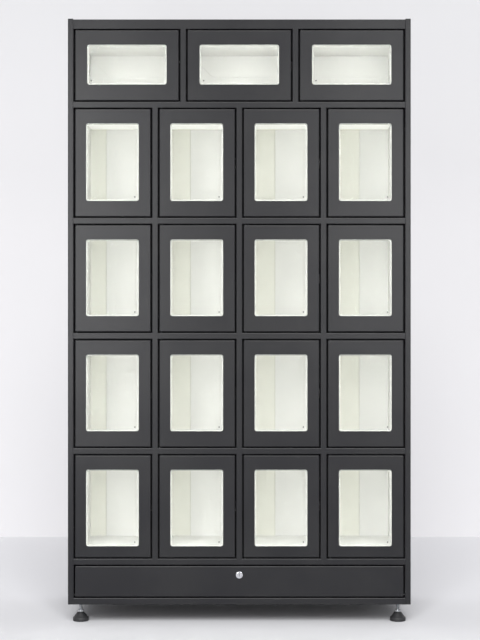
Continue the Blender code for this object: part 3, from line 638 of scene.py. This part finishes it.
class LOCKER_OT_windows(bpy.types.Operator):
    """Add the lit rim, the retaining clips and the studs behind each window"""

    bl_idname = "locker.windows"
    bl_label = "Window rims and clips"

    PANE_BACK = 0.0048
    RIM_RADIUS = 0.010
    RIM_HIDDEN = 0.003
    RIM_DEPTH = 0.004
    CLIP_WIDTH = 0.012
    CLIP_SHEET = 0.001
    CLIP_REACH = 0.006
    CLIP_FOOT = 0.012
    CLIP_SCREW = 0.0032
    CLIP_SHARES = (0.22, 0.78)
    PANE_MARGIN = 0.012
    STUD_RADIUS = 0.0019
    STUD_INSET = 0.0115

    def execute(self, context):
        shown = context.scene.locker_sizes.rim_width
        for name, _, _ in compartments():
            low, high = window_edges(name)
            self.add_rim(name, low, high, shown)
            self.add_clips(name, low, high)
            self.add_stud(name, low, high)
        return {"FINISHED"}

    def add_rim(self, name, low, high, shown):
        """The lit frame behind a window, of which a narrow edge shows."""
        hidden = self.RIM_HIDDEN
        low, high = low - Vector((hidden, 0, hidden)), high + Vector((hidden, 0, hidden))
        low.y = FRONT + self.PANE_BACK + CLEAR
        bm = bmesh.new()
        merge(bm, rounded_frame(low, high, self.RIM_RADIUS, hidden + shown, low.y + self.RIM_DEPTH))
        add_piece("window_rim_" + name, bm, ["lit opal window rim"], door_body(name), "white_powder_coat")

    def add_clips(self, name, low, high):
        """Z-shaped clips, screwed to the door, on all four edges of a pane."""
        bm = bmesh.new()
        for share in self.CLIP_SHARES:
            for side, corner in ((-1, low), (1, high)):
                for axis in (0, 2):
                    along = 2 - axis
                    spot = Vector((0, 0, 0))
                    spot[axis] = corner[axis]
                    spot[along] = low[along] + (high[along] - low[along]) * share
                    self.add_clip(bm, spot, axis, side)
        add_piece("pane_clips_" + name, bm, ["bright zinc plate"], door_body(name), "zinc_plate")

    def add_clip(self, bm, spot, axis, side):
        """One clip over the edge that a pane has at a spot, square to an axis."""
        back = FRONT + self.PANE_BACK + CLEAR
        floor = FRONT + SHEET + CLEAR / 10
        sheet = self.CLIP_SHEET
        start = self.PANE_MARGIN - self.CLIP_REACH
        bend = self.PANE_MARGIN + 2 * CLEAR
        end = bend + self.CLIP_FOOT
        profile = (
            (start, back),
            (bend, back),
            (bend, floor),
            (end, floor),
            (end, floor + sheet),
            (bend + sheet, floor + sheet),
            (bend + sheet, back + sheet),
            (start, back + sheet),
        )
        away = Vector((0, 0, 0))
        away[axis] = side
        width = Vector((0, 0, 0))
        width[2 - axis] = self.CLIP_WIDTH
        outline = [spot - width / 2 + away * reach + Vector((0, y, 0)) for reach, y in profile]
        merge(bm, extruded(outline, width))
        seat = spot + away * (bend + sheet + self.CLIP_FOOT / 2) + Vector((0, floor + sheet, 0))
        add_screw(bm, self.CLIP_SCREW, seat, BACKWARD)

    def add_stud(self, name, low, high):
        """The small stud that shows in one lower corner of a pane."""
        x = low.x + self.STUD_INSET if is_wide(low, high) else high.x - self.STUD_INSET
        seat = (x, FRONT + self.PANE_BACK + CLEAR, low.z + self.STUD_INSET)
        bm = bmesh.new()
        add_screw(bm, self.STUD_RADIUS, seat, BACKWARD)
        add_piece("pane_stud_" + name, bm, ["black moulded nylon"], door_body(name), "black_moulding")


class LOCKER_OT_compartments(bpy.types.Operator):
    """Add the seals, light bars, ceiling panels and cover fittings of every row of compartments"""

    bl_idname = "locker.compartments"
    bl_label = "Seals, lights and covers"

    LEDGE = 0.010
    SLOT_HALF = 0.0141
    SLOT_EDGE = 0.0081
    BAR_DEPTH = 0.007
    BAR_START = 0.004
    BAR_END_GAP = 0.012
    DARK_SHARE = 0.35
    WIDE_BAR_SHARE = 1.62
    CHANNEL_EDGE = 0.0006
    LENS_PROUD = 0.0012
    LENS_INSET = 0.00125
    LENS_EDGE = 0.0004
    PANEL_GAP = 0.002
    PANEL_THICKNESS = 0.003
    BEAD_RADIUS = 0.0008
    COVER_SHEET = 0.0014
    COVER_SCREW = 0.0022
    COVER_SCREW_INSET = 0.012

    # The start of the name, the finishes and the slot of each of a row's pieces
    KINDS = (
        ("door_seals_", ("black cell rubber",), "black_moulding"),
        ("light_bars_", ("mill-finish aluminium", "lit opal light bar"), "aluminium_case"),
        ("light_panels_", ("lit opal ceiling panel",), "white_powder_coat"),
        # A sealant bead whose grey is painted shade: the shadow line along the wiring cover's edge.
        ("cover_beads_", ("grey sealant",), "black_moulding"),
        ("cover_corners_", ("matt off-white enamel",), "white_powder_coat"),
        ("cover_screws_", ("white powder coat",), "white_powder_coat"),
    )

    def execute(self, context):
        sizes = context.scene.locker_sizes
        margin = Vector((BOX_MARGIN, 0, BOX_MARGIN))
        for row, members in compartment_rows().items():
            shapes = [bmesh.new() for _ in self.KINDS]
            seals, bars, panels, beads, corners, screws = shapes
            liner = frame["nodes"]["row_liner_" + row]
            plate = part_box("row_liner_" + row)[0].y
            for _, low, high in members:
                low, high = low - margin, high + margin
                wide = is_wide(low, high)
                self.add_seal(seals, low, high, plate, sizes)
                width = sizes.bar_width * (self.WIDE_BAR_SHARE if wide else 1)
                self.add_bars(bars, low, high, plate, width, wide)
                if not wide:
                    self.add_panel(panels, low, high, plate)
                    cover = self.cover_edges(liner, low, high)
                    # The bead is real sealant, and its grey is painted shade for the shadow line at the
                    # cover's edge.
                    self.add_shadow_line_bead(beads, cover, low, high)
                    self.add_corner(corners, cover, low)
                self.add_cover_screws(screws, low, high)
            for (start, finishes, slot), shape in zip(self.KINDS, shapes):
                if shape.verts:
                    add_piece(start + row, shape, finishes, "cabinet", slot)
                else:
                    shape.free()
        return {"FINISHED"}

    def add_seal(self, bm, low, high, plate, sizes):
        """Foam tape on the ledge round a compartment's mouth, left out where the strike goes in."""
        outer, inner = self.LEDGE - CLEAR / 6, self.LEDGE - sizes.seal_width
        near, far = plate - sizes.seal_thickness, plate - CLEAR / 10
        left, right, bottom, top = low.x - outer, high.x + outer, low.z - outer, high.z + outer
        west, east, floor, roof = low.x - inner, high.x + inner, low.z - inner, high.z + inner
        middle = (low.z + high.z) / 2
        sill, lintel = middle - self.SLOT_HALF, middle + self.SLOT_HALF
        strips = (
            ((left, bottom), (right, floor)),
            ((left, roof), (right, top)),
            ((left, floor), (west, roof)),
            ((east, floor), (right, sill)),
            ((east, lintel), (right, roof)),
            ((high.x + self.SLOT_EDGE, sill), (right, lintel)),
        )
        for (x0, z0), (x1, z1) in strips:
            merge(bm, block((x0, near, z0), (x1, far, z1), sizes.seal_thickness / 4))

    def add_bars(self, bm, low, high, plate, width, wide):
        """Light bars just behind the door, on both side walls, the ceiling and a wide box's floor.

        An upright box has none on the lower part of its side walls.
        """
        near, gap = plate + self.BAR_START, self.BAR_END_GAP
        foot = low.z + (gap if wide else (high.z - low.z) * self.DARK_SHARE)
        upright = Vector((low.x, near, foot)), Vector((high.x, near + width, high.z - gap))
        level = Vector((low.x + 2 * gap, near, low.z)), Vector((high.x - 2 * gap, near + width, high.z))
        self.add_bar(bm, *upright, 0, 1)
        self.add_bar(bm, *upright, 0, -1)
        self.add_bar(bm, *level, 2, -1)
        if wide:
            self.add_bar(bm, *level, 2, 1)

    def add_bar(self, bm, low, high, axis, side):
        """An aluminium channel on a wall across one axis, with its opal lens on the side of the room."""
        wall = (low if side > 0 else high)[axis]
        lens = Vector((self.LENS_INSET, self.LENS_INSET, self.LENS_INSET))
        top = self.BAR_DEPTH + self.LENS_PROUD
        layers = (
            (CLEAR, self.BAR_DEPTH, Vector(), self.CHANNEL_EDGE),
            (self.BAR_DEPTH - CLEAR, top, lens, self.LENS_EDGE),
        )
        for surface, (near, far, inset, edge) in enumerate(layers):
            first, last = low + inset, high - inset
            first[axis], last[axis] = sorted((wall + side * near, wall + side * far))
            merge(bm, block(first, last, edge), surface=surface)

    def add_panel(self, bm, low, high, plate):
        """A thin opal panel over the ceiling, with a little room round it."""
        gap = self.PANEL_GAP
        first = (low.x + gap, plate + 2 * self.BAR_END_GAP, high.z - self.PANEL_THICKNESS)
        last = (high.x - gap, high.y - gap, high.z - CLEAR)
        merge(bm, block(first, last, self.PANEL_THICKNESS / 4))

    def cover_edges(self, liner, low, high):
        """The edges of the wiring cover's face, in order round it."""
        face = high.y + BOX_MARGIN
        corners = {
            (round(v.co.x, 5), round(v.co.z, 5))
            for v in liner.data.vertices
            if abs(v.co.y - face) < CLEAR
            and low.x - BOX_MARGIN < v.co.x < high.x + BOX_MARGIN
            and low.z - BOX_MARGIN < v.co.z < high.z + BOX_MARGIN
        }
        middle = Vector((sum(x for x, _ in corners), sum(z for _, z in corners))) / len(corners)
        ring = sorted(corners, key=lambda spot: math.atan2(spot[1] - middle.y, spot[0] - middle.x))
        points = [Vector((x, face, z)) for x, z in ring]
        return list(zip(points, points[1:] + points[:1]))

    def add_shadow_line_bead(self, bm, cover, low, high):
        """Sealant down the upright edge of the wiring cover to the floor; its grey is painted shade, the
        shadow line along that edge.
        """
        for start, end in cover:
            on_wall = min(abs(start.x - low.x), abs(start.x - high.x)) < 2 * BOX_MARGIN
            if on_wall or abs(end.x - start.x) > CLEAR:
                continue
            radius, foot = self.BEAD_RADIUS, Vector((start.x, start.y, low.z + CLEAR))
            top = max(start.z, end.z) - foot.z - 2 * radius
            profile = [(0, 0), (radius, radius), (radius, top - radius), (0, top)]
            merge(bm, turned(profile, 8), Matrix.Translation(foot))

    def add_corner(self, bm, cover, low):
        """The plate that closes the wiring cover's cut-off corner above the floor."""
        for start, end in cover:
            if min(abs(end.x - start.x), abs(end.z - start.z)) < CLEAR:
                continue
            lower, upper = sorted((start, end), key=lambda point: point.z)
            floor = low.z + CLEAR
            tip = lower.lerp(upper, (floor - lower.z) / (upper.z - lower.z))
            outline = [tip, Vector((upper.x, upper.y, floor)), upper]
            merge(bm, extruded(outline, (0, self.COVER_SHEET, 0)))

    def add_cover_screws(self, bm, low, high):
        """Painted screws near the upper left corner of the wiring cover."""
        for drop in (self.COVER_SCREW_INSET, 4 * self.COVER_SCREW_INSET):
            seat = (low.x + self.COVER_SCREW_INSET, high.y + BOX_MARGIN, high.z - drop)
            add_screw(bm, self.COVER_SCREW, seat, FORWARD)


class LOCKER_OT_lock(bpy.types.Operator):
    """Make the key lock of the service flap"""

    bl_idname = "locker.lock"
    bl_label = "Key lock"

    PLUG_RADIUS = 0.0056
    SLOT_WIDTH = 0.0022
    SLOT_HEIGHT = 0.0085
    SLOT_DEPTH = 0.004
    FACE_RADIUS = 0.01035
    FACE_SEAT = 0.0002
    FACE_EASE = 0.0006
    FACE_CROWN = 0.0014
    FACE_LIP = 0.0010
    STEP = 0.0005
    BARREL_RADIUS = 0.008
    BARREL_FRONT = 0.0004
    NUT_RADIUS = 0.0115
    NUT_HEIGHT = 0.0046
    NUT_EDGE = 0.0005

    def execute(self, context):
        low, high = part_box("lock_housing")
        centre = (low + high) / 2
        proud, depth = FRONT - low.y, high.y - FRONT
        place = facing((centre.x, FRONT, centre.z), FORWARD)
        nut_place = facing((centre.x, FRONT + SHEET + 2 * CLEAR, centre.z), BACKWARD)
        bm = bmesh.new()
        merge(bm, self.face_ring(proud), place)
        merge(bm, self.barrel(depth), place)
        merge(bm, hex_prism(self.NUT_RADIUS, self.NUT_HEIGHT, self.NUT_EDGE), nut_place, surface=1)
        finishes = ["bright chrome plate", "bright zinc plate"]
        add_piece("lock_body", bm, finishes, "service_flap", "chrome", "lock_housing")
        plug = bmesh.new()
        cam_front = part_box("lock_cam")[0].y
        merge(plug, self.plug(cam_front - FRONT - CLEAR, proud - CLEAR), place)
        add_piece("lock_key_plug", plug, ["bright chrome plate"], "lock_plug", "chrome", "lock_plug")
        return {"FINISHED"}

    def face_ring(self, proud):
        """The round face, with an eased rim and a step round the plug."""
        outer, inner, seat, ease = self.FACE_RADIUS, self.PLUG_RADIUS + CLEAR, self.FACE_SEAT, self.FACE_EASE
        side = [(inner, seat), (outer - ease, seat), (outer, ease), (outer, proud * 0.55)]
        crown = [(outer - ease, proud * 0.9), (outer - self.FACE_CROWN, proud)]
        low = proud - self.STEP
        lip = [(inner + self.FACE_LIP, proud), (inner + ease, low), (inner, low)]
        return turned(side + crown + lip, 64, hollow=True)

    def barrel(self, depth):
        """The tube that the plug turns in, eased at its far end."""
        inner, outer, front, step = self.PLUG_RADIUS + CLEAR, self.BARREL_RADIUS, self.BARREL_FRONT, self.STEP
        back = [(inner, -depth), (outer - step, -depth), (outer, step - depth)]
        return turned(back + [(outer, front), (inner, front)], 48, hollow=True)

    def plug(self, depth, proud):
        """The turning plug, whose key slot is a real recess."""
        bm = bmesh.new()
        rim = bmesh.ops.create_circle(bm, cap_ends=False, radius=self.PLUG_RADIUS, segments=48)["verts"]
        bmesh.ops.translate(bm, vec=(0, 0, proud), verts=rim)
        rim_edges = bm.edges[:]
        x, y = self.SLOT_WIDTH / 2, self.SLOT_HEIGHT / 2
        slot = [bm.verts.new((*spot, proud)) for spot in ((-x, -y), (x, -y), (x, y), (-x, y))]
        slot_edges = [bm.edges.new(pair) for pair in zip(slot, slot[1:] + slot[:1])]
        bmesh.ops.bridge_loops(bm, edges=rim_edges + slot_edges)
        for edges, reach in ((slot_edges, self.SLOT_DEPTH), (rim_edges, proud + depth)):
            pushed(bm, bmesh.ops.extrude_edge_only(bm, edges=edges), (0, 0, -reach))
        bmesh.ops.holes_fill(bm, edges=bm.edges, sides=0)
        return bm


class LOCKER_OT_feet(bpy.types.Operator):
    """Make the levelling feet: pad, nut and threaded stud"""

    bl_idname = "locker.feet"
    bl_label = "Levelling feet"

    PAD_HEIGHT = 0.027
    PAD_RIM = 0.012
    PAD_EASE = 0.0006
    PAD_CURVE = 0.0022
    PAD_BEND = 0.0026
    NECK_RADIUS = 0.0095
    NUT_RADIUS = 0.0088
    NUT_HEIGHT = 0.006
    NUT_EDGE = 0.0005
    STUD_RADIUS = 0.005

    def execute(self, context):
        pitch = context.scene.locker_sizes.thread_pitch
        for node in [name for name in frame["nodes"] if name.startswith("foot_")]:
            low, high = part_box(node)
            place = Matrix.Translation(((low.x + high.x) / 2, (low.y + high.y) / 2, 0))
            pad = bmesh.new()
            merge(pad, self.pad((high.x - low.x) / 2), place)
            add_piece(node + "_pad", pad, ["black moulded nylon"], node, "black_moulding", node)
            stud = bmesh.new()
            nut_place = place @ Matrix.Translation((0, 0, self.PAD_HEIGHT))
            merge(stud, hex_prism(self.NUT_RADIUS, self.NUT_HEIGHT, self.NUT_EDGE), nut_place)
            rod = threaded_rod(self.STUD_RADIUS, pitch, high.z - self.PAD_HEIGHT - pitch)
            merge(stud, rod, nut_place)
            add_piece(node + "_stud", stud, ["bright zinc plate"], node, "zinc_plate")
        return {"FINISHED"}

    def pad(self, radius):
        """A moulded cone on a round base, with eased edges."""
        neck, rim, height = self.NECK_RADIUS, self.PAD_RIM, self.PAD_HEIGHT
        ease, curve, bend = self.PAD_EASE, self.PAD_CURVE, self.PAD_BEND
        base = [(0, 0), (radius - curve, 0), (radius - ease, ease), (radius, curve), (radius, rim - bend)]
        shoulder = [(radius - ease, rim - 0.0008), (radius - bend, rim + ease)]
        top = [(neck + 0.0020, height - bend), (neck, height - ease), (neck - ease, height), (0, height)]
        return turned(base + shoulder + top, 48)


class LOCKER_OT_service_bay(bpy.types.Operator):
    """Add the terminals and lid screws of the electronics in the service bay"""

    bl_idname = "locker.service_bay"
    bl_label = "Service bay fittings"

    TERMINAL_WIDTH = 0.016
    TERMINAL_GAP = 0.004
    TERMINAL_INSET = 0.022
    TERMINAL_DEPTH = 0.010
    TERMINAL_BACK = 0.003
    TERMINAL_EDGE = 0.0006
    TERMINAL_SHARES = (0.27, 0.45)
    CLAMP_SHARES = (0.27, 0.73)
    CLAMP_SCREW = 0.0021
    CASE_FRONT = 0.014
    LID_SCREW = 0.0028
    LID_INSET = 0.012

    def execute(self, context):
        for node in ("controller_box", "power_supply"):
            low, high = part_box(node)
            bm = bmesh.new()
            self.add_terminals(bm, low, high)
            self.add_lid_screws(bm, low, high)
            finishes = ["green terminal nylon", "bright zinc plate"]
            add_piece(node + "_terminals", bm, finishes, "cabinet", "black_moulding")
        return {"FINISHED"}

    def add_terminals(self, bm, low, high):
        """Plug-in terminals side by side in the recess of a case, each with its two clamp screws."""
        bottom, top = (low.z + (high.z - low.z) * share for share in self.TERMINAL_SHARES)
        left = low.x + self.CASE_FRONT + self.TERMINAL_INSET
        right = high.x - self.CASE_FRONT - self.TERMINAL_INSET
        near = low.y + self.TERMINAL_BACK
        pitch = self.TERMINAL_WIDTH + self.TERMINAL_GAP
        for index in range(int((right - left) // pitch)):
            x = left + index * pitch
            far = (x + self.TERMINAL_WIDTH, near + self.TERMINAL_DEPTH, top)
            merge(bm, block((x, near, bottom), far, self.TERMINAL_EDGE))
            for share in self.CLAMP_SHARES:
                seat = (x + self.TERMINAL_WIDTH * share, near, (bottom + top) / 2)
                add_screw(bm, self.CLAMP_SCREW, seat, FORWARD, surface=1)

    def add_lid_screws(self, bm, low, high):
        """A screw in each corner of a case's lid."""
        inset = self.CASE_FRONT + self.LID_INSET
        for x in (low.x + inset, high.x - inset):
            for y in (low.y + self.LID_INSET, high.y - self.LID_INSET):
                add_screw(bm, self.LID_SCREW, (x, y, high.z), UPWARD, surface=1)


class LOCKER_OT_rear(bpy.types.Operator):
    """Add the screws of the back panel and of the mains inlet"""

    bl_idname = "locker.rear"
    bl_label = "Rear screws"

    EDGE_INSET = 0.022
    INLET_INSET = 0.0045
    INLET_SUNK = 0.0012
    INLET_SCREW = 0.0026

    def execute(self, context):
        sizes = context.scene.locker_sizes
        low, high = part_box("back_panel")
        inset = self.EDGE_INSET
        spots = []
        for index in range(sizes.screws_up):
            z = low.z + inset + (high.z - low.z - 2 * inset) * index / (sizes.screws_up - 1)
            spots += [(low.x + inset, z), (high.x - inset, z)]
        for index in range(1, sizes.screws_across):
            x = low.x + inset + (high.x - low.x - 2 * inset) * index / sizes.screws_across
            spots += [(x, low.z + inset / 2), (x, high.z - inset / 2)]
        seats = [(x, high.y, z) for x, z in spots]
        coat = "charcoal powder coat", "charcoal_powder_coat"
        self.add_screws("back_panel", seats, sizes.screw_radius, *coat)
        low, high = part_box("power_inlet")
        depth, middle = high.y - self.INLET_SUNK, (low.z + high.z) / 2
        seats = [(x, depth, middle) for x in (low.x + self.INLET_INSET, high.x - self.INLET_INSET)]
        self.add_screws("power_inlet", seats, self.INLET_SCREW, "bright zinc plate", "zinc_plate")
        return {"FINISHED"}

    def add_screws(self, node, seats, radius, finish, slot):
        """One piece of all the screws that hold a part to the cabinet from behind."""
        bm = bmesh.new()
        for seat in seats:
            add_screw(bm, radius, seat, BACKWARD)
        add_piece(node + "_screws", bm, [finish], "cabinet", slot)


class LOCKER_OT_stage(bpy.types.Operator):
    """Set up the floor, the backdrop, the lamps and the camera"""

    bl_idname = "locker.stage"
    bl_label = "Studio"

    HALF_WIDTH = 9.0
    FLOOR_FRONT = -12.0
    WALL_TOP = 6.0
    SENSOR_MM = 36.0
    # Name, place to the right and height of each tall lamp
    STRIPS = (("left_strip", -0.92, 1.42), ("right_strip", 0.86, 1.62))
    STRIP_SIZE = (0.5, 2.15)
    STRIP_DISTANCE = 4.0
    STRIP_TARGET = (0, FRONT, 1.3)

    def execute(self, context):
        studio = context.scene.locker_studio
        wall = FRONT + studio.backdrop_distance
        depth = wall - self.FLOOR_FRONT
        self.add_sheet(
            "studio_floor",
            ("matt floor paint", "#DDDDE0", "#DFDFE2"),
            facing((0, wall - depth / 2, 0), UPWARD),
            (self.HALF_WIDTH, depth / 2),
        )
        # The backdrop's upper tone is darker than its lower one: painted shade for the lamps' falloff towards
        # the top.
        self.add_sheet(
            "studio_backdrop",
            ("matt wall paint", "#E9E8EA", "#DADADC"),
            facing((0, wall, self.WALL_TOP / 2), FORWARD),
            (self.HALF_WIDTH, self.WALL_TOP / 2),
        )
        self.set_room_light(context.scene, studio.room_light)
        self.add_key_light(studio)
        for name, side, height in self.STRIPS:
            self.add_lamp(name, (side, FRONT - self.STRIP_DISTANCE, height), getattr(studio, name))
        self.add_camera(context.scene, studio)
        context.scene.view_settings.view_transform = "Standard"
        return {"FINISHED"}

    def add_sheet(self, name, paint, place, half_size):
        """A flat sheet of the studio, which a camera behind it sees through."""
        bm = bmesh.new()
        bmesh.ops.create_grid(
            bm, x_segments=1, y_segments=1, size=1.0, matrix=place @ Matrix.Diagonal((*half_size, 1.0, 1.0))
        )
        studio_paint(*paint)
        sheet = add_mesh(name, bm, [paint[0]])

    def add_key_light(self, studio):
        """The wide soft light from the front, above the camera."""
        lamp = bpy.data.lights.new("key_light", "SUN")
        lamp.energy = studio.key_light
        lamp.angle = studio.key_spread
        add_object("key_light", lamp).rotation_euler = (math.radians(90) - studio.key_height, 0, 0)

    def set_room_light(self, scene, strength):
        """Even light from all round, which a camera sees as a pale wall."""
        world = bpy.data.worlds.new("pale room")
        scene.world = world
        world.use_nodes = True
        tree = world.node_tree
        room = tree.nodes["Background"]
        room.inputs["Color"].default_value = linear("#FFFFFF")
        room.inputs["Strength"].default_value = strength
        seen = add_node(tree, "ShaderNodeBackground", {"Color": linear("#EEEEEE"), "Strength": 1.0})
        by_camera = add_node(tree, "ShaderNodeLightPath").outputs["Is Camera Ray"]
        show_mix(tree, "World Output", by_camera, room.outputs["Background"], seen.outputs["Background"])

    def add_lamp(self, name, place, power):
        """A tall soft lamp that faces the upper middle of the doors."""
        lamp = bpy.data.lights.new(name, "AREA")
        lamp.shape = "RECTANGLE"
        lamp.size, lamp.size_y = self.STRIP_SIZE
        lamp.energy = power
        holder = add_object(name, lamp)
        holder.location = place
        aim = Vector(self.STRIP_TARGET) - Vector(place)
        holder.rotation_euler = aim.to_track_quat("-Z", "Y").to_euler()

    def add_camera(self, scene, studio):
        lens = bpy.data.cameras.new("front_camera")
        lens.sensor_width = self.SENSOR_MM
        lens.lens = self.SENSOR_MM * studio.camera_distance / studio.view_height
        camera = add_object("front_camera", lens)
        camera.location = (studio.camera_side, FRONT - studio.camera_distance, studio.camera_height)
        camera.rotation_euler = (math.radians(90), 0, 0)
        scene.camera = camera


STEPS = (
    LOCKER_OT_finishes,
    LOCKER_OT_windows,
    LOCKER_OT_compartments,
    LOCKER_OT_lock,
    LOCKER_OT_feet,
    LOCKER_OT_service_bay,
    LOCKER_OT_rear,
    LOCKER_OT_stage,
)
GROUPS = {"locker_sizes": LockerSizes, "locker_colours": LockerColours, "locker_studio": LockerStudio}


class LOCKER_PT_sidebar(bpy.types.Panel):
    """The locker's values and steps"""

    bl_label = "Smart Locker"
    bl_idname = "LOCKER_PT_sidebar"
    bl_space_type = "VIEW_3D"
    bl_region_type = "UI"
    bl_category = "Locker"

    def draw(self, context):
        for attribute, group in GROUPS.items():
            box = self.layout.box()
            for field in group.__annotations__:
                box.prop(getattr(context.scene, attribute), field)
        for step in STEPS:
            self.layout.operator(step.bl_idname)


def register():
    for item in (*GROUPS.values(), *STEPS, LOCKER_PT_sidebar):
        bpy.utils.register_class(item)
    for attribute, group in GROUPS.items():
        setattr(bpy.types.Scene, attribute, PointerProperty(type=group))


def unregister():
    for attribute in GROUPS:
        delattr(bpy.types.Scene, attribute)
    for item in reversed((*GROUPS.values(), *STEPS, LOCKER_PT_sidebar)):
        bpy.utils.unregister_class(item)


def main():
    register()
    for step in STEPS:
        group, name = step.bl_idname.split(".")
        getattr(getattr(bpy.ops, group), name)()


if __name__ == "__main__":
    main()
